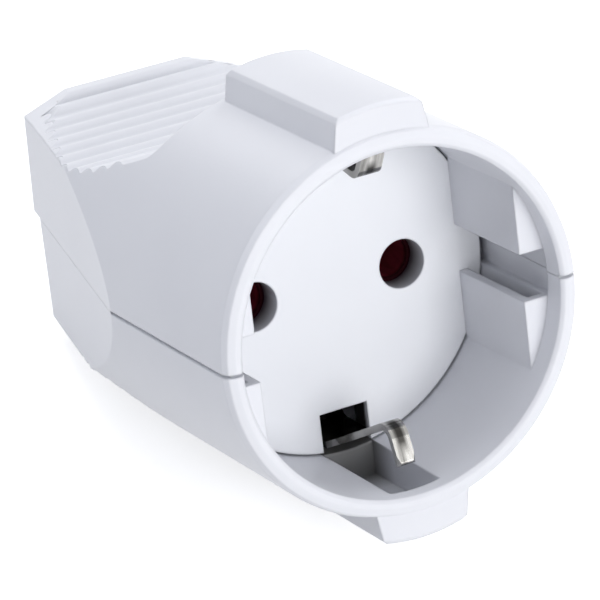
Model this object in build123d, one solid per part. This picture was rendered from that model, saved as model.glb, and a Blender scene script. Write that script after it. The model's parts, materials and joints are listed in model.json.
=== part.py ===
"""Rewirable in-line schuko socket: two grip shells round a contact carrier, with the wiring parts inside.

Modelled on the socket's axis: X to the right as seen from the mouth, Y from the mouth to the cable end, Z up.
The finished pieces are then laid down as they rest, on the lower ear's back edge and the lower lip, with the
origin under the middle of the part.
"""
import os
from math import atan2, cos, degrees, radians, sin, tan

from build123d import *

# Plug system
recess_depth = 17.5
recess_radius = 20.0
pin_spacing = 19.0
pin_radius = 2.4
pin_hole_radius = 2.9
guide_inset = 3.25
guide_front = 3.2
guide_wall = 1.05
guide_slot_width = 5.6
guide_slot_depth = 0.6

# Housing
cup_wall = 2.2
shell_wall = 2.2
hood_overhang = 3.1
end_lean = 9.3
rim_round = 1.2
rim_lead = 0.4
parting_groove_width = 0.36
parting_groove_depth = 0.7

# Ears over the earth springs
ear_height = 3.3
ear_crown = 0.7
ear_width = 11.9
ear_draft = 10.0
ear_length = 25.9
ear_setback = 0.7
ear_bevel = 0.45
ear_roof = 1.7
earth_channel_width = 6.4
earth_channel_front = 2.2

# Tapered grip, alike above and below
side_start = 28.07
side_taper = 13.2
shoulder_start = 43.0
shoulder_height = 12.5
shoulder_tilt = 21.0
scoop_lean = 16.0
scoop_corner = 2.5
scoop_setback = 3.7
scoop_foot_height = 16.6
scoop_run = 13.0
scoop_knee_height = 11.9
scoop_knee_round = 25.0
lip_setback = 0.7
lip_height = 14.6
lip_round = 1.6
lip_rise = 1.5
rib_pitch = 2.7
rib_width = 2.2
rib_height = 0.4
cable_radius = 4.5

# Contact carrier
carrier_face = 3.2
carrier_gap = 0.25
lug_setback = 1.2
lug_rise = 0.7
lug_reach = 9.0
lug_play = 0.1
chamber_reach = 4.2
chamber_wall = 1.0
trough_wall = 1.2
trough_play = 0.15
earth_window_width = 6.14
earth_window_drop = 3.65

# Pin sleeves and box terminals
sleeve_play = 0.1
sleeve_wall = 0.6
sleeve_length = 13.0
sleeve_slit = 0.8
sleeve_seat = 0.1
tail_width = 4.2
tail_thickness = 0.5
tail_overlap = 1.5
terminal_width = 7.0
terminal_length = 7.0
terminal_wall = 1.3
terminal_roof = 2.8
terminal_window = 4.2
terminal_setback = 3.0
spring_thickness = 0.6
spring_width = 5.0
spring_gap = 5.0
spring_setback = 2.0
slide_gap = 0.05

# Earth strap
strap_thickness = 0.8
strap_width = 5.6
tongue_bevel = 0.7
tongue_shoulder = 0.3
strap_inset = 1.45
upper_tongue_width = 2.9
upper_crest_drop = 2.3
upper_crest_depth = 5.1
upper_tip_drop = -0.75
upper_tip_depth = 3.4
lower_tongue_width = 2.2
lower_crest_drop = 5.55
lower_crest_depth = 5.3
lower_tip_drop = 1.4
lower_tip_depth = 3.65
strap_bend = 1.6
tongue_bend = 1.6
strap_leg_gap = 2.8
strap_post_height = 8.0
clamp_plate_width = 6.4
clamp_plate_thickness = 1.0

# Screws, smooth where the thread would be
terminal_screw_radius = 1.5
terminal_screw_rise = 1.9
terminal_screw_grip = 4.0
terminal_screw_lift = 0.4
earth_screw_radius = 1.7
earth_screw_head = 2.9
earth_screw_head_height = 2.0
earth_screw_grip = 4.4
cord_screw_radius = 1.4
cord_screw_head = 2.6
cord_screw_head_height = 1.9
cord_screw_grip = 8.0
housing_screw_radius = 1.5
housing_screw_head = 2.8
housing_screw_head_height = 2.2
housing_screw_grip = 14.0
slot_width = 0.8
slot_depth = 0.9
thread_gap = 0.05
shank_gap = 0.25
head_gap = 0.4
hole_runout = 0.5

# Cord clamp and screw bosses
clamp_setback = 7.0
clamp_from_end = 5.7
clamp_screw_spacing = 15.6
clamp_bar_margin = 0.1
clamp_bar_width = 5.4
clamp_bar_thickness = 1.9
clamp_seat_height = 1.5
clamp_arch_wall = 1.6
housing_screw_setback = 7.2
housing_screw_spacing = 20.4
housing_screw_seat = 8.0
boss_wall = 1.3
boss_root = 0.55

# Places worked out from the sizes above
body_radius = recess_radius + cup_wall
ear_reach = body_radius + ear_height
guide_flat = recess_radius - guide_inset
guide_slot_reach = recess_radius + guide_slot_depth
pin_places = (-pin_spacing / 2, pin_spacing / 2)
carrier_back = recess_depth + carrier_face
lug_front = recess_depth + lug_setback
lug_radius = recess_radius + lug_rise
sleeve_bore = pin_radius + sleeve_play
sleeve_radius = sleeve_bore + sleeve_wall
sleeve_front = carrier_back + sleeve_seat
sleeve_back = sleeve_front + sleeve_length
tail_top = -sleeve_bore - slide_gap
tail_bottom = tail_top - tail_thickness
terminal_front = sleeve_back + terminal_setback
terminal_back = terminal_front + terminal_length
terminal_bottom = tail_bottom - terminal_wall
terminal_window_top = tail_bottom + terminal_window
terminal_top = terminal_window_top + terminal_roof
strap_height = recess_radius - strap_inset
strap_leg_front = carrier_back + strap_leg_gap
strap_leg_back = strap_leg_front + strap_thickness
clamp_plate_back = strap_leg_back + clamp_plate_thickness
housing_screw_y = terminal_back + housing_screw_setback
clamp_y = housing_screw_y + clamp_setback
clamp_places = (-clamp_screw_spacing / 2, clamp_screw_spacing / 2)
clamp_top = clamp_seat_height + clamp_bar_thickness
clamp_bar_length = clamp_screw_spacing + 2 * (cord_screw_head + clamp_bar_margin)
housing_screw_places = (-housing_screw_spacing / 2, housing_screw_spacing / 2)
housing_screw_end = housing_screw_grip - housing_screw_seat
collar_top = boss_wall - housing_screw_seat
lower_length = clamp_y + clamp_from_end
cavity_end = lower_length - shell_wall
length = lower_length + hood_overhang
scoop_foot_depth = strap_leg_back + scoop_setback
scoop_knee_depth = scoop_foot_depth + scoop_run
lip_depth = lower_length - lip_setback
boss_end = scoop_knee_height - boss_root
rest_tilt = degrees(atan2(ear_reach - lip_height, lower_length - ear_length + ear_bevel))
beyond = 2 * length


def along_axis(radius, start, end, x=0.0):
    """A round bar parallel to the socket's axis."""
    return Pos(x, (start + end) / 2, 0) * Cylinder(radius, end - start, rotation=(90, 0, 0))


def upright(radius, bottom, top, x=0.0, y=0.0):
    """A round bar that stands on end."""
    return Pos(x, y, (bottom + top) / 2) * Cylinder(radius, top - bottom)


def block(x_range, y_range, z_range):
    """A box given by its limits along each axis."""
    limits = (x_range, y_range, z_range)
    middle = [(low + high) / 2 for low, high in limits]
    return Pos(*middle) * Box(*[high - low for low, high in limits])


def centred(size, middle=0.0):
    """The limits of a size laid evenly about a middle."""
    return (middle - size / 2, middle + size / 2)


def side_cuts(inset):
    """The two wedges that taper the grip's sides towards the cable, moved inwards by inset."""
    cuts = []
    for side in (-1, 1):
        outward = Vector(side * cos(radians(side_taper)), sin(radians(side_taper)), 0)
        face = Plane(Vector(side * body_radius, side_start, 0) - outward * inset, z_dir=outward)
        cuts.append(face * Box(beyond, beyond, beyond, align=(Align.CENTER, Align.CENTER, Align.MIN)))
    return cuts


def shoulder_cuts():
    """The sloping shoulders between the grip's sides and its ribbed scoops."""
    taper = radians(side_taper)
    tilt = radians(shoulder_tilt)
    start_x = body_radius - (shoulder_start - side_start) * tan(taper)
    cuts = []
    for side in (-1, 1):
        edge = Vector(-side * sin(taper), cos(taper), 0)
        outward = Vector(side * cos(taper), sin(taper), 0)
        for end in (-1, 1):
            corner = Vector(side * start_x, shoulder_start, end * shoulder_height)
            face = Plane(corner, x_dir=edge, z_dir=outward * sin(tilt) + Vector(0, 0, end * cos(tilt)))
            cuts.append(face * Box(beyond, beyond, beyond, align=(Align.MIN, Align.CENTER, Align.MIN)))
    return cuts


def end_cuts():
    """The leaning cable end of the upper shell, and the step under it to the shorter lower shell."""
    outward = Vector(0, cos(radians(end_lean)), sin(radians(end_lean)))
    face = Plane(Vector(0, length, 0), x_dir=Vector(1, 0, 0), z_dir=outward)
    leaning = face * Box(beyond, beyond, beyond, align=(Align.CENTER, Align.CENTER, Align.MIN))
    return [leaning, block(centred(beyond), (lower_length, beyond), (-beyond, 0))]


def scoop_ribs(path):
    """The rounded ribs across a scoop, spaced along its path, and the round front of the lip."""
    rib_radius = (rib_width**2 / 4 + rib_height**2) / (2 * rib_height)
    nose = Pos(0, lip_depth, lip_height - lip_round) * Cylinder(lip_round, beyond, rotation=(0, 90, 0))
    bars = [nose]
    for number in range(1, int((path.length - scoop_corner) / rib_pitch)):
        share = 1 - number * rib_pitch / path.length
        along = path % share
        inward = Vector(along.Y, -along.X)
        place = path @ share + inward * (rib_radius - rib_height)
        bars.append(Pos(0, place.X, place.Y) * Cylinder(rib_radius, beyond, rotation=(0, 90, 0)))
    return bars


def scoops(inset, ribbed):
    """The hollows for thumb and finger: a leaning wall, a slope down, and a ramp up to the lip."""
    foot = (scoop_foot_depth, scoop_foot_height)
    end = (lip_depth, lip_height - lip_rise)
    brow_depth = scoop_foot_depth - (ear_reach - scoop_foot_height) * tan(radians(scoop_lean))
    path = FilletPolyline(foot, (scoop_knee_depth, scoop_knee_height), end, radius=scoop_knee_round)
    lip = (lip_depth, lip_height)
    around = Polyline(end, lip, (beyond, lip_height), (beyond, ear_reach), (brow_depth, ear_reach), foot)
    profile = make_face(path.edges() + around.edges())
    profile = fillet(profile.vertices().sort_by_distance((*foot, 0))[0], scoop_corner)
    if inset:
        profile = offset(profile, amount=inset)
    tool = extrude(Plane.YZ * profile, amount=ear_reach, both=True)
    if ribbed:
        tool = tool - scoop_ribs(path)
    return [tool, mirror(tool, about=Plane.XY)]


def ear():
    """The upper ear, drafted to its crowned outer face, with the edges of that face bevelled."""
    base = body_radius - cup_wall / 2
    corner_height = ear_reach - ear_crown
    half_base = ear_width / 2
    half_top = half_base - (corner_height - base) * tan(radians(ear_draft))
    left_edge = (-half_top, corner_height)
    right_edge = (half_top, corner_height)
    sides = Polyline(right_edge, (half_base, base), (-half_base, base), left_edge)
    crown = ThreePointArc(left_edge, (0, ear_reach), right_edge)
    outline = Plane.XZ * make_face(sides.edges() + crown.edges())
    solid = Pos(0, ear_setback, 0) * extrude(outline, amount=ear_setback - ear_length)
    return chamfer(solid.faces().sort_by(Axis.Z)[-1].edges(), ear_bevel)


def recess():
    """The space for the plug: a round mouth, and a hollow, slotted guide for each flat of the plug."""
    mouth = along_axis(recess_radius, -rim_round, guide_front)
    lead = Pos(0, rim_lead / 2, 0) * Cone(
        recess_radius, recess_radius + rim_lead, rim_lead, rotation=(90, 0, 0)
    )
    between_flats = block(centred(2 * guide_flat), (guide_front, recess_depth), centred(beyond))
    guided = along_axis(recess_radius, guide_front, recess_depth) & between_flats
    behind_guides = along_axis(recess_radius, guide_front + guide_wall, recess_depth)
    behind_guides = behind_guides - block(centred(2 * (guide_flat + guide_wall)), (0, length), centred(beyond))
    seat = along_axis(recess_radius, recess_depth, carrier_back)
    slots = block(centred(2 * guide_slot_reach), (guide_front, carrier_back), centred(guide_slot_width))
    return mouth + lead + guided + behind_guides + seat + slots


def earth_channels():
    """The hollows in the ears, which let the earth tongues spring outwards."""
    channels = []
    for end in (-1, 1):
        heights = sorted((end * recess_radius / 2, end * (ear_reach - ear_roof)))
        depths = (earth_channel_front, recess_depth)
        channels.append(block(centred(earth_channel_width), depths, heights))
    return channels


def barrel():
    """The round body that the housing is cut from, its rim eased in two facets that follow the rounding."""
    ease = rim_round * (1 - cos(radians(45)))
    rim = [(body_radius - rim_round, 0), (body_radius - ease, ease), (body_radius, rim_round)]
    outline = Polyline((0, 0), *rim, (body_radius, length), (0, length), close=True)
    return revolve(make_face(outline.edges()), axis=Axis.Y)


def outer_form():
    """The housing's outside: the barrel with tapered sides, scoops and the two ears."""
    form = barrel() - side_cuts(0) - shoulder_cuts() - scoops(0, True) - end_cuts()
    upper_ear = ear()
    return form + upper_ear + mirror(upper_ear, about=Plane.XY)


def hollows():
    """All that is open inside the housing, and the groove that marks where the shells meet."""
    space = along_axis(body_radius - shell_wall, carrier_back, cavity_end)
    space = space - side_cuts(shell_wall) - scoops(shell_wall, False)
    seat_depths = (lug_front - lug_play, carrier_back + lug_play)
    lug_seats = along_axis(lug_radius + carrier_gap, *seat_depths)
    lug_seats = lug_seats & block(centred(beyond), seat_depths, centred(2 * (lug_reach + carrier_gap)))
    cable_hole = along_axis(cable_radius, cavity_end - shell_wall, length + shell_wall)
    groove = block(centred(beyond), (-rim_round, side_start), centred(parting_groove_width))
    groove = groove - along_axis(body_radius - parting_groove_depth, parting_groove_depth, beyond)
    return [recess(), *earth_channels(), space, lug_seats, cable_hole, groove]


def upper_shell(body):
    """The top half, with blind bosses for the housing screws, which stand on the lower shell's collars."""
    shell = body & block(centred(beyond), centred(2 * beyond), (0, beyond))
    for x in housing_screw_places:
        boss = upright(housing_screw_radius + thread_gap + boss_wall, collar_top, boss_end, x, housing_screw_y)
        pilot_end = housing_screw_end + hole_runout
        pilot = upright(housing_screw_radius + thread_gap, collar_top, pilot_end, x, housing_screw_y)
        shell = shell + boss - pilot
    return shell


def lower_shell(body):
    """The bottom half, with collars that seat the housing screws and the posts of the cord clamp."""
    shell = body & block(centred(beyond), centred(2 * beyond), (-beyond, 0))
    recess_wide = housing_screw_head + head_gap
    for x in housing_screw_places:
        shell = shell + upright(recess_wide + boss_wall, -boss_end, collar_top, x, housing_screw_y)
        shell = shell - upright(housing_screw_radius + shank_gap, -beyond, beyond, x, housing_screw_y)
        shell = shell - upright(recess_wide, -beyond, -housing_screw_seat, x, housing_screw_y)
    for x in clamp_places:
        post = upright(cord_screw_radius + thread_gap + boss_wall, -boss_end, clamp_seat_height, x, clamp_y)
        pilot_end = clamp_top - cord_screw_grip - hole_runout
        pilot = upright(cord_screw_radius + thread_gap, pilot_end, clamp_seat_height, x, clamp_y)
        shell = shell + post - pilot
    return shell


def contact_carrier():
    """The cup's floor: a disc with side lugs, and chambers and troughs behind it for the contacts."""
    disc = along_axis(recess_radius - carrier_gap, recess_depth, carrier_back)
    lug_depths = (lug_front, carrier_back)
    lugs = along_axis(lug_radius, *lug_depths) & block(centred(beyond), lug_depths, centred(2 * lug_reach))
    lugs = lugs - block(centred(beyond), lug_depths, centred(guide_slot_width))
    post = block(centred(strap_width), (carrier_back, strap_leg_front), centred(strap_post_height))
    carrier = disc + lugs + post
    inner_width = terminal_width + 2 * trough_play
    for x in pin_places:
        chamber_depths = (carrier_back, sleeve_back)
        outside = 2 * (chamber_reach + chamber_wall)
        chamber = block(centred(outside, x), chamber_depths, centred(outside))
        floor = terminal_bottom - trough_wall
        trough_depths = (sleeve_back - chamber_wall, terminal_back)
        trough = block(centred(inner_width + 2 * trough_wall, x), trough_depths, (floor, 0))
        trough_space = block(centred(inner_width, x), trough_depths, (terminal_bottom, 0))
        carrier = carrier + chamber + (trough - trough_space)
        carrier = carrier - block(centred(2 * chamber_reach, x), chamber_depths, centred(2 * chamber_reach))
        carrier = carrier - along_axis(pin_hole_radius, recess_depth, carrier_back, x)
    for end in (-1, 1):
        heights = sorted((end * (strap_height - earth_window_drop), end * recess_radius))
        carrier = carrier - block(centred(earth_window_width), (recess_depth, carrier_back), heights)
    screw_end = clamp_plate_back - earth_screw_grip - slide_gap
    return carrier - along_axis(earth_screw_radius + thread_gap, screw_end, strap_leg_front)


def pin_sleeve(x):
    """A sleeve rolled from brass sheet, with its seam open on top and a flat tail for the terminal."""
    tube = along_axis(sleeve_radius, sleeve_front, sleeve_back, x)
    tube = tube - along_axis(sleeve_bore, sleeve_front, sleeve_back, x)
    tube = tube - block(centred(sleeve_slit, x), (sleeve_front, sleeve_back), (0, beyond))
    tail_depths = (sleeve_back - tail_overlap, terminal_back)
    return tube + block(centred(tail_width, x), tail_depths, (tail_bottom, tail_top))


def sleeve_spring(x):
    """An open steel ring that presses a sleeve onto the pin."""
    start = sleeve_front + spring_setback
    inner = sleeve_radius + slide_gap
    ring = along_axis(inner + spring_thickness, start, start + spring_width, x)
    ring = ring - along_axis(inner, start, start + spring_width, x)
    return ring - block(centred(spring_gap, x), (start, start + spring_width), (0, beyond))


def terminal_block(x):
    """A box terminal: the tail and the wire pass through its window, under the screw."""
    depths = (terminal_front, terminal_back)
    body = block(centred(terminal_width, x), depths, (terminal_bottom, terminal_top))
    window_width = terminal_width - 2 * terminal_wall
    body = body - block(centred(window_width, x), depths, (tail_bottom, terminal_window_top))
    middle = (terminal_front + terminal_back) / 2
    return body - upright(terminal_screw_radius + thread_gap, terminal_window_top, terminal_top, x, middle)


def slotted_screw(head_radius, head_height, shank_radius, grip):
    """A cheese-head screw that stands on Z with its head up and the head's underside at the origin."""
    screw = upright(head_radius, 0, head_height) + upright(shank_radius, -grip, 0)
    slot = block(centred(3 * head_radius), centred(slot_width), (head_height - slot_depth, head_height))
    return screw - slot


def earth_strap():
    """A U bent from plated strip, whose narrowed ends form the two sprung tongues in the cup."""
    leg = (strap_leg_front + strap_leg_back) / 2
    knee = recess_depth - tongue_shoulder
    path = FilletPolyline(
        (upper_tip_depth, strap_height - upper_tip_drop),
        (upper_crest_depth, strap_height - upper_crest_drop),
        (knee, strap_height),
        (leg, strap_height),
        (leg, -strap_height),
        (knee, -strap_height),
        (lower_crest_depth, lower_crest_drop - strap_height),
        (lower_tip_depth, lower_tip_drop - strap_height),
        radius=[tongue_bend, strap_bend, strap_bend, strap_bend, strap_bend, tongue_bend],
    )
    section = make_face(offset(path, amount=strap_thickness / 2, side=Side.BOTH).edges())
    strip = extrude(Plane.YZ * section, amount=strap_width / 2, both=True)
    wide = block(centred(strap_width), (knee, beyond), centred(beyond))
    upper = (upper_tongue_width, upper_tip_depth, (0, beyond))
    lower = (lower_tongue_width, lower_tip_depth, (-beyond, 0))
    tongues = []
    for width, tip, heights in (upper, lower):
        tongue = block(centred(width), (tip - strap_thickness, knee), heights)
        tongues.append(chamfer(tongue.edges().filter_by(Axis.Z).group_by(Axis.Y)[0], tongue_bevel))
    hole = along_axis(earth_screw_radius + thread_gap, strap_leg_front, strap_leg_back)
    return (strip & (wide + tongues)) - hole


def earth_clamp_plate():
    """The square plate that holds the earth wire against the strap."""
    depths = (strap_leg_back, clamp_plate_back)
    plate = block(centred(clamp_plate_width), depths, centred(clamp_plate_width))
    return plate - along_axis(earth_screw_radius + shank_gap, *depths)


def cord_clamp_bar():
    """A moulded bar that arches over the cable and sits on the lower shell's two posts."""
    depths = centred(clamp_bar_width, clamp_y)
    bar = block(centred(clamp_bar_length), depths, (clamp_seat_height, clamp_top))
    arch = along_axis(cable_radius + clamp_arch_wall, *depths)
    arch = arch & block(centred(beyond), depths, (clamp_seat_height, beyond))
    bar = bar + arch - along_axis(cable_radius, *depths)
    for x in clamp_places:
        bar = bar - upright(cord_screw_radius + shank_gap, clamp_seat_height, clamp_top, x, clamp_y)
    return bar


def screws():
    """Each kind of screw where it is fitted, by node name."""
    terminal = slotted_screw(
        terminal_screw_radius, terminal_screw_rise, terminal_screw_radius, terminal_screw_grip
    )
    earth = slotted_screw(earth_screw_head, earth_screw_head_height, earth_screw_radius, earth_screw_grip)
    cord = slotted_screw(cord_screw_head, cord_screw_head_height, cord_screw_radius, cord_screw_grip)
    closing = slotted_screw(
        housing_screw_head, housing_screw_head_height, housing_screw_radius, housing_screw_grip
    )
    terminal_y = (terminal_front + terminal_back) / 2
    terminal_z = terminal_top + terminal_screw_lift
    return {
        "pin_terminal_screws": [Pos(x, terminal_y, terminal_z) * terminal for x in pin_places],
        "earth_terminal_screw": [Pos(0, clamp_plate_back, 0) * Rot(-90, 0, 0) * earth],
        "cord_clamp_screws": [Pos(x, clamp_y, clamp_top) * cord for x in clamp_places],
        "housing_screws": [
            Pos(x, housing_screw_y, -housing_screw_seat) * Rot(180, 0, 0) * closing for x in housing_screw_places
        ],
    }


form = outer_form()
body = form - hollows()
left, right = pin_places
pieces = {
    "upper_shell": [upper_shell(body)],
    "lower_shell": [lower_shell(body)],
    "contact_carrier": [contact_carrier()],
    "left_pin_sleeve": [pin_sleeve(left)],
    "right_pin_sleeve": [pin_sleeve(right)],
    "left_sleeve_spring": [sleeve_spring(left)],
    "right_sleeve_spring": [sleeve_spring(right)],
    "left_terminal_block": [terminal_block(left)],
    "right_terminal_block": [terminal_block(right)],
    "earth_strap": [earth_strap()],
    "earth_clamp_plate": [earth_clamp_plate()],
    "cord_clamp_bar": [cord_clamp_bar()],
    **screws(),
}

os.makedirs("parts", exist_ok=True)
lying = Rot(-rest_tilt, 0, 0)
limits = (lying * form).bounding_box()
set_down = Pos(0, -limits.center().Y, -limits.min.Z) * lying
for name, solids in pieces.items():
    placed = [set_down * solid for solid in solids]
    export_step(placed[0] if len(placed) == 1 else Compound(children=placed), f"parts/{name}.step")
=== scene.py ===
import json
import math

import bmesh
import bpy
from mathutils import Matrix, Vector


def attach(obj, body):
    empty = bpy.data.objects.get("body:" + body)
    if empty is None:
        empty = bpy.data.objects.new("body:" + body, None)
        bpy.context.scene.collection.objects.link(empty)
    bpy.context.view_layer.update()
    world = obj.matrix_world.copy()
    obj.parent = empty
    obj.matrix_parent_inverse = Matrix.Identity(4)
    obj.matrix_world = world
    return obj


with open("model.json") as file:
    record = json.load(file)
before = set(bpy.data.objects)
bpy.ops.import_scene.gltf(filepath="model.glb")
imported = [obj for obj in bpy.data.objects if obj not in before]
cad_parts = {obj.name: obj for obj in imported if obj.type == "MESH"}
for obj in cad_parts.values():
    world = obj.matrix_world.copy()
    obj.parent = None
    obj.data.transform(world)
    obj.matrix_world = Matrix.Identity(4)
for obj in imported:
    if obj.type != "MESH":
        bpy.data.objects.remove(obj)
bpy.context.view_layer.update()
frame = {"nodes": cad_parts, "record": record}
scene = bpy.context.scene
scene.view_settings.view_transform = "Standard"


# Camera
# The socket lies on its lower ear and lip. It is seen from above and from the left of its mouth.
# A long lens from half a metre gives the flat perspective of a catalogue picture.
view_turn = math.radians(-30.23)
view_fall = math.radians(55.82)
view_roll = math.radians(1.57)
view_target = Vector((0.0004, -0.0061, 0.0204))
view_distance = 0.553
camera = bpy.data.objects.new("camera", bpy.data.cameras.new("camera"))
camera.data.sensor_width = 36.0
camera.data.lens = 291.43
camera.matrix_world = (
    Matrix.Translation(view_target)
    @ Matrix.Rotation(view_turn, 4, "Z")
    @ Matrix.Rotation(view_fall, 4, "X")
    @ Matrix.Rotation(view_roll, 4, "Z")
    @ Matrix.Translation((0, 0, view_distance))
)
scene.collection.objects.link(camera)
scene.camera = camera


# White housing shells
# The two halves are moulded from white ABS, with a fine satin skin and a barely uneven tone.
# The ends of the earth channels, and their walls just before the recess's floor, are painted dark as
# shade, as if the channels led on into the housing.
mouth = next(mount for mount in frame["record"]["mounts"] if mount["name"] == "plug_recess")
mouth_place = Vector(mouth["pos_m"])
inward = -Vector(mouth["axis"])
across = Vector((1, 0, 0))
upward = across.cross(inward)
housing_colour = (0.755, 0.763, 0.80)
housing_shade = (0.728, 0.736, 0.775)
housing_roughness = 0.38
edge_radius = 0.0004
edge_samples = 6
tone_grain = 45.0
tone_detail = 3.0
tone_spread = 0.2
skin_grain = 2600.0
skin_detail = 2.0
skin_strength = 0.04
skin_depth = 0.0002
skin_gloss_spread = 0.04
plastic_sheen = 0.3
floor_depth = 0.0175
channel_half_width = 0.0033
channel_inner_height = 0.0147
channel_outer_height = 0.0241
channel_back = 0.0215
channel_dusk = 0.0045
channel_painted_shade = (0.22, 0.22, 0.22)


def combined(tree, operation, first, second):
    """A maths node on a socket and a socket or a number."""
    maths = tree.nodes.new("ShaderNodeMath")
    maths.operation = operation
    tree.links.new(first, maths.inputs[0])
    if isinstance(second, float):
        maths.inputs[1].default_value = second
    else:
        tree.links.new(second, maths.inputs[1])
    return maths.outputs["Value"]


def along(tree, way):
    """How far a point lies from the middle of the mouth along a way."""
    place = tree.nodes.new("ShaderNodeTexCoord")
    projected = tree.nodes.new("ShaderNodeVectorMath")
    projected.operation = "DOT_PRODUCT"
    projected.inputs[1].default_value = way
    tree.links.new(place.outputs["Object"], projected.inputs[0])
    return combined(tree, "SUBTRACT", projected.outputs["Value"], way.dot(mouth_place))


def off_middle(tree, way):
    """How far a point lies from the middle of the mouth on either side."""
    return combined(tree, "ABSOLUTE", along(tree, way), 0.0)


def mapped(tree, value, start, end, low=0.0, high=1.0):
    """Low where a value is at the start or short of it, high at the end or past it, and even between."""
    scale = tree.nodes.new("ShaderNodeMapRange")
    scale.inputs["From Min"].default_value = start
    scale.inputs["From Max"].default_value = end
    scale.inputs["To Min"].default_value = low
    scale.inputs["To Max"].default_value = high
    tree.links.new(value, scale.inputs["Value"])
    return scale.outputs["Result"]


def grained(tree, place, grain, detail):
    """An uneven pattern over a piece."""
    pattern = tree.nodes.new("ShaderNodeTexNoise")
    pattern.inputs["Scale"].default_value = grain
    pattern.inputs["Detail"].default_value = detail
    tree.links.new(place, pattern.inputs["Vector"])
    return pattern.outputs["Fac"]


def tone_between(tree, pattern, shade, colour, spread):
    """Colours a material from a shade to a full colour by a pattern."""
    tone = tree.nodes.new("ShaderNodeValToRGB")
    tone.color_ramp.elements[0].position = 0.5 - spread
    tone.color_ramp.elements[0].color = (*shade, 1)
    tone.color_ramp.elements[1].position = 0.5 + spread
    tone.color_ramp.elements[1].color = (*colour, 1)
    tree.links.new(pattern, tone.inputs["Fac"])
    tree.links.new(tone.outputs["Color"], tree.nodes["Principled BSDF"].inputs["Base Color"])


def lay_over(material, share, colour):
    """Lays a colour over a material's own colour by a share."""
    tree = material.node_tree
    surface_colour = tree.nodes["Principled BSDF"].inputs["Base Color"]
    own_colour = surface_colour.links[0].from_socket
    mixed = tree.nodes.new("ShaderNodeMix")
    mixed.data_type = "RGBA"
    tree.links.new(share, mixed.inputs["Factor"])
    tree.links.new(own_colour, mixed.inputs["A"])
    mixed.inputs["B"].default_value = (*colour, 1)
    tree.links.new(mixed.outputs["Result"], surface_colour)


def paint_channel_shade(material, light_until, dark_from, colour):
    """Paints shade onto a material between two depths, where the earth channels and windows lead inside.
    """
    tree = material.node_tree
    aside = off_middle(tree, across)
    high = off_middle(tree, upward)
    depth = along(tree, inward)
    dark = mapped(tree, depth, light_until, dark_from)
    for limit in (
        combined(tree, "LESS_THAN", aside, channel_half_width),
        combined(tree, "GREATER_THAN", high, channel_inner_height),
        combined(tree, "LESS_THAN", high, channel_outer_height),
        combined(tree, "LESS_THAN", depth, channel_back),
    ):
        dark = combined(tree, "MULTIPLY", dark, limit)
    lay_over(material, dark, colour)


def moulded_plastic(name, colour, shade, roughness, rounding):
    """Plastic from a mould: an uneven tone, a fine satin skin and softened edges."""
    material = bpy.data.materials.new(name)
    material.use_nodes = True
    tree = material.node_tree
    shader = tree.nodes["Principled BSDF"]
    shader.inputs["Specular IOR Level"].default_value = plastic_sheen
    place = tree.nodes.new("ShaderNodeTexCoord").outputs["Object"]
    tone_between(tree, grained(tree, place, tone_grain, tone_detail), shade, colour, tone_spread)
    skin = grained(tree, place, skin_grain, skin_detail)
    gloss = mapped(tree, skin, 0.0, 1.0, roughness - skin_gloss_spread, roughness + skin_gloss_spread)
    tree.links.new(gloss, shader.inputs["Roughness"])
    edges = tree.nodes.new("ShaderNodeBevel")
    edges.samples = edge_samples
    edges.inputs["Radius"].default_value = rounding
    relief = tree.nodes.new("ShaderNodeBump")
    relief.inputs["Strength"].default_value = skin_strength
    relief.inputs["Distance"].default_value = skin_depth
    tree.links.new(edges.outputs["Normal"], relief.inputs["Normal"])
    tree.links.new(skin, relief.inputs["Height"])
    tree.links.new(relief.outputs["Normal"], shader.inputs["Normal"])
    return material


def dress(node, material):
    """Gives a CAD piece its finish."""
    frame["nodes"][node].data.materials.clear()
    frame["nodes"][node].data.materials.append(material)


housing_white = moulded_plastic(
    "housing_white", housing_colour, housing_shade, housing_roughness, edge_radius
)
# Painted shade on the channel ends and on the channel walls near the floor.
paint_channel_shade(housing_white, floor_depth - channel_dusk, floor_depth, channel_painted_shade)
for node in ("upper_shell", "lower_shell"):
    dress(node, housing_white)


# Ribbed grip
# Rounded ribs cover the ramp of each scoop, moulded with the shell, and the last ones climb to the lip.
# They end at the barrel and the sloping shoulders, and the lower ones leave the two sunk screws open.
scoop_foot = Vector((0.0280, 0.0166))
scoop_knee = Vector((0.0410, 0.0119))
scoop_end = Vector((0.0630, 0.0131))
knee_round = 0.025
rib_pitch = 0.0027
rib_width = 0.0022
rib_height = 0.00045
rib_count = 11
rib_round = (rib_width**2 / 4 + rib_height**2) / (2 * rib_height)
rib_edge_radius = 0.00005
climb_length = 0.0077
climb = 18.5
grip_start = 0.0006
grip_step = 0.00015
grip_steps = 204
grip_lift = 0.00005
grip_sink = 0.0003
grip_depth = 0.0008
body_radius = 0.0222
side_start = 0.02807
side_taper = math.radians(13.2)
side_inset = 0.00002
shoulder_start = 0.043
shoulder_height = 0.0125
shoulder_tilt = math.radians(21.0)
screw_place = 0.0102
screw_depth = 0.0510
screw_opening = 0.00325
grip_columns = 5
screw_columns = ({1, 2}, {3, 4})
closed_gap = 1e-7
ramp_way = (scoop_knee - scoop_end).normalized()
slope_way = (scoop_foot - scoop_knee).normalized()
knee_turn = slope_way.angle(ramp_way)
ramp_length = (scoop_knee - scoop_end).length - knee_round * math.tan(knee_turn / 2)
knee_length = knee_round * knee_turn


def scoop_point(way):
    """The place on a scoop's path at a distance from the lip, and the upward normal there."""
    ramp_up = Vector((ramp_way.y, -ramp_way.x))
    if way <= ramp_length:
        return scoop_end + ramp_way * way, ramp_up
    turned = min(way - ramp_length, knee_length) / knee_round
    up = ramp_up * math.cos(turned) - ramp_way * math.sin(turned)
    middle = scoop_end + ramp_way * ramp_length + ramp_up * knee_round
    beyond_knee = max(0.0, way - ramp_length - knee_length)
    return middle - up * knee_round + slope_way * beyond_knee, up


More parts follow.
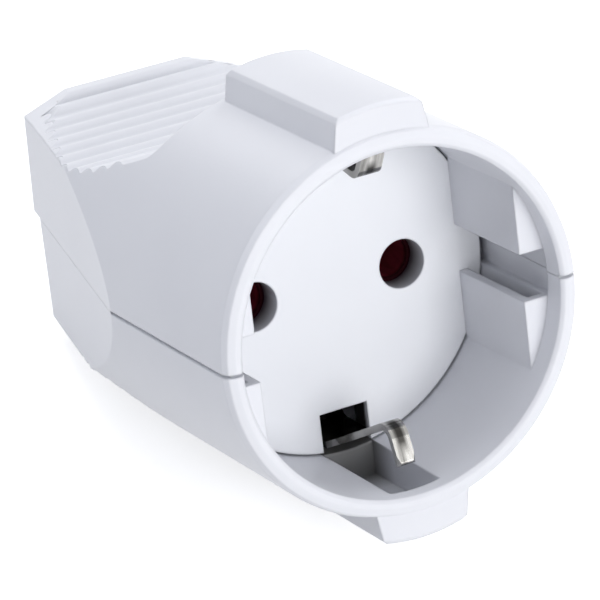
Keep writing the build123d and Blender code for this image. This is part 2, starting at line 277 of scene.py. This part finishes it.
def rib_rise(way):
    """How far the ribbed surface stands above the path."""
    rise = grip_lift + climb * max(0.0, climb_length - way) ** 2
    offset = abs(way - rib_pitch * max(1, min(rib_count, round(way / rib_pitch))))
    if offset < rib_width / 2:
        rise += math.sqrt(rib_round**2 - offset**2) - rib_round + rib_height
    return rise


def half_width(depth, height):
    """Half the housing's width on a scoop, which the barrel, the tapered sides and the shoulders limit."""
    barrel = math.sqrt(body_radius**2 - height**2)
    side = body_radius - (depth - side_start) * math.tan(side_taper)
    edge = body_radius - (shoulder_start - side_start) * math.tan(side_taper)
    fall = (height - shoulder_height) / math.tan(shoulder_tilt)
    shoulder = edge - (fall + (depth - shoulder_start) * math.sin(side_taper)) / math.cos(side_taper)
    limits = [barrel, side]
    if depth > shoulder_start:
        limits.append(shoulder)
    return min(limits) - side_inset


def grip_spot(step, column, under, side, opening):
    """A point on the ribs or under them, counted from the lip inwards and across from edge to edge."""
    way = grip_start + step * grip_step
    place, up = scoop_point(way)
    rise = -grip_sink if step == grip_steps else rib_rise(way)
    depth, height = place + up * rise
    if under:
        height = place.y - grip_depth
    edge = half_width(depth, height)
    gap = math.sqrt(max(0.0, opening**2 - (depth - screw_depth) ** 2))
    columns = (-edge, -screw_place - gap, -screw_place + gap, screw_place - gap, screw_place + gap, edge)
    return mouth_place + across * columns[column] + inward * depth + upward * (height * side)


def ribbed_grip(name, side, opening):
    """A sheet of three strips that only the screws part, shaped to the ribs and thickened downwards."""
    grip = bmesh.new()
    bmesh.ops.create_grid(grip, x_segments=grip_columns, y_segments=grip_steps, size=0.5)
    counts = {}
    for point in grip.verts:
        step = round((point.co.y + 0.5) * grip_steps)
        column = round((point.co.x + 0.5) * grip_columns)
        counts[point] = (step, column)
    gaps = [face for face in grip.faces if {counts[point][1] for point in face.verts} in screw_columns]
    bmesh.ops.delete(grip, geom=gaps, context="FACES")
    for point in grip.verts:
        point.co = grip_spot(*counts[point], False, side, opening)
    bmesh.ops.remove_doubles(grip, verts=grip.verts, dist=closed_gap)
    for edge in grip.edges:
        start, end = (counts[point][0] for point in edge.verts)
        edge.smooth = not edge.is_boundary or start == end
    sheet = list(grip.verts)
    bmesh.ops.extrude_face_region(grip, geom=list(grip.faces))
    for point in sheet:
        point.co = grip_spot(*counts[point], True, side, opening)
        for edge in point.link_edges:
            edge.smooth = True
    for face in grip.faces:
        face.smooth = True
    bmesh.ops.recalc_face_normals(grip, faces=grip.faces)
    if grip.calc_volume(signed=True) < 0:
        bmesh.ops.reverse_faces(grip, faces=grip.faces)
    mesh = bpy.data.meshes.new(name)
    grip.to_mesh(mesh)
    grip.free()
    mesh.materials.append(grip_white)
    piece = bpy.data.objects.new(name, mesh)
    scene.collection.objects.link(piece)
    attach(piece, "root")


grip_white = moulded_plastic(
    "grip_white", housing_colour, housing_shade, housing_roughness, rib_edge_radius
)
ribbed_grip("upper_grip_ribs", 1, 0.0)
ribbed_grip("lower_grip_ribs", -1, screw_opening)


# Contact carrier
# The floor of the cup is a white moulded insert with the pin holes and the two earth windows.
# It drops into the lower shell before the upper shell closes over it.
carrier_colour = (0.81, 0.822, 0.85)
carrier_shade = (0.785, 0.797, 0.83)
carrier_roughness = 0.36
carrier_back = 0.0207
window_light_depth = 0.0005
window_dark_depth = 0.001
window_painted_shade = (0.03, 0.03, 0.03)
pin_place = 0.0095
hole_reach = 0.0031
hole_painted_shade = (0.05, 0.036, 0.04)
hole_painted_shade_share = 0.97
carrier_white = moulded_plastic(
    "carrier_white", carrier_colour, carrier_shade, carrier_roughness, edge_radius
)
# The earth windows' walls are painted near-black behind the floor, as shade.
window_light_until = floor_depth + window_light_depth
window_dark_from = floor_depth + window_dark_depth
paint_channel_shade(carrier_white, window_light_until, window_dark_from, window_painted_shade)
tree = carrier_white.node_tree
# The pin holes' walls get painted shade, darker the deeper down the hole.
off_pin = combined(tree, "SUBTRACT", off_middle(tree, across), pin_place)
high = along(tree, upward)
off_pin_square = combined(tree, "MULTIPLY", off_pin, off_pin)
high_square = combined(tree, "MULTIPLY", high, high)
round_pin = combined(tree, "ADD", off_pin_square, high_square)
in_hole = combined(tree, "LESS_THAN", round_pin, hole_reach**2)
hole_shade_by_depth = mapped(tree, along(tree, inward), floor_depth, carrier_back, 0.0, hole_painted_shade_share)
lay_over(carrier_white, combined(tree, "MULTIPLY", in_hole, hole_shade_by_depth), hole_painted_shade)
dress("contact_carrier", carrier_white)


# Pin contacts
# Each pin has a rolled sleeve with a zinc-plated spring round it, and a brass box terminal with a screw.
# They are stamped or turned, so fine lines run along them. A sleeve's front end, seen down its pin hole,
# is painted dark as shade.
line_grain = 900.0
line_detail = 4.0
line_tone_spread = 0.15
line_strength = 0.08
line_depth = 0.0001
line_gloss_spread = 0.06
along_the_socket = (1.0, 0.12, 1.0)
copper_colour = (0.42, 0.06, 0.10)
copper_shade = (0.30, 0.04, 0.07)
copper_roughness = 0.6
brass_colour = (0.80, 0.60, 0.30)
brass_shade = (0.66, 0.47, 0.20)
brass_roughness = 0.32
zinc_colour = (0.66, 0.67, 0.68)
zinc_shade = (0.52, 0.53, 0.55)
zinc_roughness = 0.33
sleeve_front = 0.0208
sleeve_unshaded_depth = 0.0216
sleeve_painted_shade = (0.022, 0.004, 0.006)


def drawn_metal(name, colour, shade, roughness, stretch):
    """Metal with fine lines drawn along it, in which the gloss varies a little."""
    material = bpy.data.materials.new(name)
    material.use_nodes = True
    tree = material.node_tree
    shader = tree.nodes["Principled BSDF"]
    shader.inputs["Metallic"].default_value = 1.0
    place = tree.nodes.new("ShaderNodeTexCoord")
    turn = tree.nodes.new("ShaderNodeMapping")
    turn.inputs["Scale"].default_value = stretch
    tree.links.new(place.outputs["Object"], turn.inputs["Vector"])
    lines = grained(tree, turn.outputs["Vector"], line_grain, line_detail)
    tone_between(tree, lines, shade, colour, line_tone_spread)
    gloss = mapped(tree, lines, 0.0, 1.0, roughness - line_gloss_spread, roughness + line_gloss_spread)
    tree.links.new(gloss, shader.inputs["Roughness"])
    relief = tree.nodes.new("ShaderNodeBump")
    relief.inputs["Strength"].default_value = line_strength
    relief.inputs["Distance"].default_value = line_depth
    tree.links.new(lines, relief.inputs["Height"])
    tree.links.new(relief.outputs["Normal"], shader.inputs["Normal"])
    return material


def fade_inward(material, start, end, colour):
    """Lays a colour over a material, from none of it at one depth to all of it at another."""
    tree = material.node_tree
    lay_over(material, mapped(tree, along(tree, inward), start, end), colour)


dark_copper = drawn_metal("dark_copper", copper_colour, copper_shade, copper_roughness, along_the_socket)
# Painted shade over the sleeve's front end.
fade_inward(dark_copper, sleeve_unshaded_depth, sleeve_front, sleeve_painted_shade)
contact_brass = drawn_metal("contact_brass", brass_colour, brass_shade, brass_roughness, along_the_socket)
zinc_plate = drawn_metal("zinc_plate", zinc_colour, zinc_shade, zinc_roughness, along_the_socket)
for side in ("left", "right"):
    dress(f"{side}_pin_sleeve", dark_copper)
    dress(f"{side}_terminal_block", contact_brass)
    dress(f"{side}_sleeve_spring", zinc_plate)
dress("pin_terminal_screws", zinc_plate)


# Earth contact
# A strap bent from plated strip ends in the two tongues. A clamp plate and screw hold the earth wire.
# Its plate is bright, with painted shade behind the carrier's face and a painted shade line down the
# middle of each tongue in place of a pressed groove.
along_the_strip = (1.0, 0.1, 0.1)
plate_colour = (0.56, 0.55, 0.53)
plate_shade = (0.13, 0.127, 0.12)
plate_roughness = 0.2
strap_shade_start = 0.0160
strap_shade_full = 0.0195
strap_painted_shade = (0.02, 0.019, 0.018)
groove_edge = 0.0008
groove_middle = 0.0003
groove_tip = 0.0035
groove_full = 0.0041
groove_painted_shade = (0.05, 0.048, 0.045)
bright_plate = drawn_metal("bright_plate", plate_colour, plate_shade, plate_roughness, along_the_strip)
# The strap is painted dark behind the carrier's face, as shade.
fade_inward(bright_plate, strap_shade_start, strap_shade_full, strap_painted_shade)
tree = bright_plate.node_tree
# A painted shade line down the middle of each tongue, in place of a groove's shade.
groove_width = mapped(tree, off_middle(tree, across), groove_edge, groove_middle)
groove_length = mapped(tree, along(tree, inward), groove_tip, groove_full)
lay_over(bright_plate, combined(tree, "MULTIPLY", groove_width, groove_length), groove_painted_shade)
dress("earth_strap", bright_plate)
dress("earth_clamp_plate", bright_plate)
dress("earth_terminal_screw", zinc_plate)


# Cord clamp and housing screws
# The clamp is a small white moulded bar, which two screws press onto the cable's jacket in the cable end.
# Two more screws, driven from below, hold the shells together. All four are zinc-plated steel.
clamp_colour = (0.76, 0.77, 0.78)
clamp_shade = (0.72, 0.73, 0.75)
clamp_roughness = 0.45
clamp_white = moulded_plastic("clamp_white", clamp_colour, clamp_shade, clamp_roughness, edge_radius)
dress("cord_clamp_bar", clamp_white)
dress("cord_clamp_screws", zinc_plate)
dress("housing_screws", zinc_plate)


# Floor
# A plain white sheet of paper, which is seen as white and is still darkened where the socket shades it.
# Farther off, where little light falls, it glows more, so that it stays white up to the horizon.
floor_size = 4.0
paper_white = (0.75, 0.75, 0.75, 1)
paper_roughness = 0.9
lit_reach = 0.3
glow_reach = 1.2
glow_near = 0.62


def seen_straight(tree):
    """One for what is seen straight, in a mirror or through glass, and nought for scattered light."""
    path = tree.nodes.new("ShaderNodeLightPath")
    mirrored = combined(tree, "MAXIMUM", path.outputs["Is Camera Ray"], path.outputs["Is Glossy Ray"])
    return combined(tree, "MAXIMUM", mirrored, path.outputs["Is Transmission Ray"])


sheet = bmesh.new()
bmesh.ops.create_grid(sheet, x_segments=1, y_segments=1, size=floor_size / 2)
floor_mesh = bpy.data.meshes.new("floor")
sheet.to_mesh(floor_mesh)
sheet.free()
floor = bpy.data.objects.new("floor", floor_mesh)
scene.collection.objects.link(floor)
floor_white = bpy.data.materials.new("floor_white")
floor_white.use_nodes = True
tree = floor_white.node_tree
paper = tree.nodes["Principled BSDF"]
paper.inputs["Base Color"].default_value = paper_white
paper.inputs["Roughness"].default_value = paper_roughness
paper.inputs["Specular IOR Level"].default_value = 0.0
place = tree.nodes.new("ShaderNodeTexCoord")
distance = tree.nodes.new("ShaderNodeVectorMath")
distance.operation = "LENGTH"
tree.links.new(place.outputs["Object"], distance.inputs[0])
glow_share = mapped(tree, distance.outputs["Value"], lit_reach, glow_reach, glow_near, 1.0)
glow = tree.nodes.new("ShaderNodeEmission")
glow.inputs["Color"].default_value = (1, 1, 1, 1)
tree.links.new(combined(tree, "MULTIPLY", seen_straight(tree), glow_share), glow.inputs["Strength"])
both = tree.nodes.new("ShaderNodeAddShader")
tree.links.new(paper.outputs["BSDF"], both.inputs[0])
tree.links.new(glow.outputs["Emission"], both.inputs[1])
tree.links.new(both.outputs["Shader"], tree.nodes["Material Output"].inputs["Surface"])
floor_mesh.materials.append(floor_white)


# Studio light
# A large soft box faces the mouth, and others stand at the right, overhead, behind and at the left.
# The surround fills the shadows with a pale blue, and is white where it is seen or mirrored.
socket_middle = Vector((0, 0, 0.03))
plain_white = (1, 1, 1)
pale_blue = (0.90, 0.93, 1.0)
fill_colour = (0.82, 0.86, 1.0, 1)
fill_strength = 0.18


def soft_box(name, place, size, power, colour):
    """A round lamp with a soft edge, turned towards the socket."""
    lamp = bpy.data.lights.new(name, "AREA")
    lamp.shape = "DISK"
    lamp.size = size
    lamp.energy = power
    lamp.color = colour
    holder = bpy.data.objects.new(name, lamp)
    holder.location = place
    holder.rotation_mode = "QUATERNION"
    holder.rotation_quaternion = (socket_middle - Vector(place)).to_track_quat("-Z", "Y")
    scene.collection.objects.link(holder)


soft_box("front_light", (0.1, -1.1, 0.36), size=0.7, power=8.3, colour=plain_white)
soft_box("right_front_light", (0.55, -1.0, 0.4), size=0.5, power=1.4, colour=plain_white)
soft_box("top_light", (0.0, 0.0, 1.3), size=0.8, power=3.6, colour=plain_white)
soft_box("right_back_light", (0.8, 0.35, 0.9), size=0.9, power=7.0, colour=plain_white)
soft_box("left_top_light", (-0.9, 0.3, 0.9), size=0.9, power=4.6, colour=pale_blue)
soft_box("back_light", (0.0, 1.2, 0.7), size=0.7, power=4.0, colour=plain_white)
world = bpy.data.worlds.new("surround")
scene.world = world
world.use_nodes = True
tree = world.node_tree
fill = tree.nodes["Background"]
fill.inputs["Color"].default_value = fill_colour
fill.inputs["Strength"].default_value = fill_strength
white = tree.nodes.new("ShaderNodeBackground")
white.inputs["Color"].default_value = (1, 1, 1, 1)
white.inputs["Strength"].default_value = 1.0
surround = tree.nodes.new("ShaderNodeMixShader")
tree.links.new(seen_straight(tree), surround.inputs["Fac"])
tree.links.new(fill.outputs["Background"], surround.inputs[1])
tree.links.new(white.outputs["Background"], surround.inputs[2])
tree.links.new(surround.outputs["Shader"], tree.nodes["World Output"].inputs["Surface"])
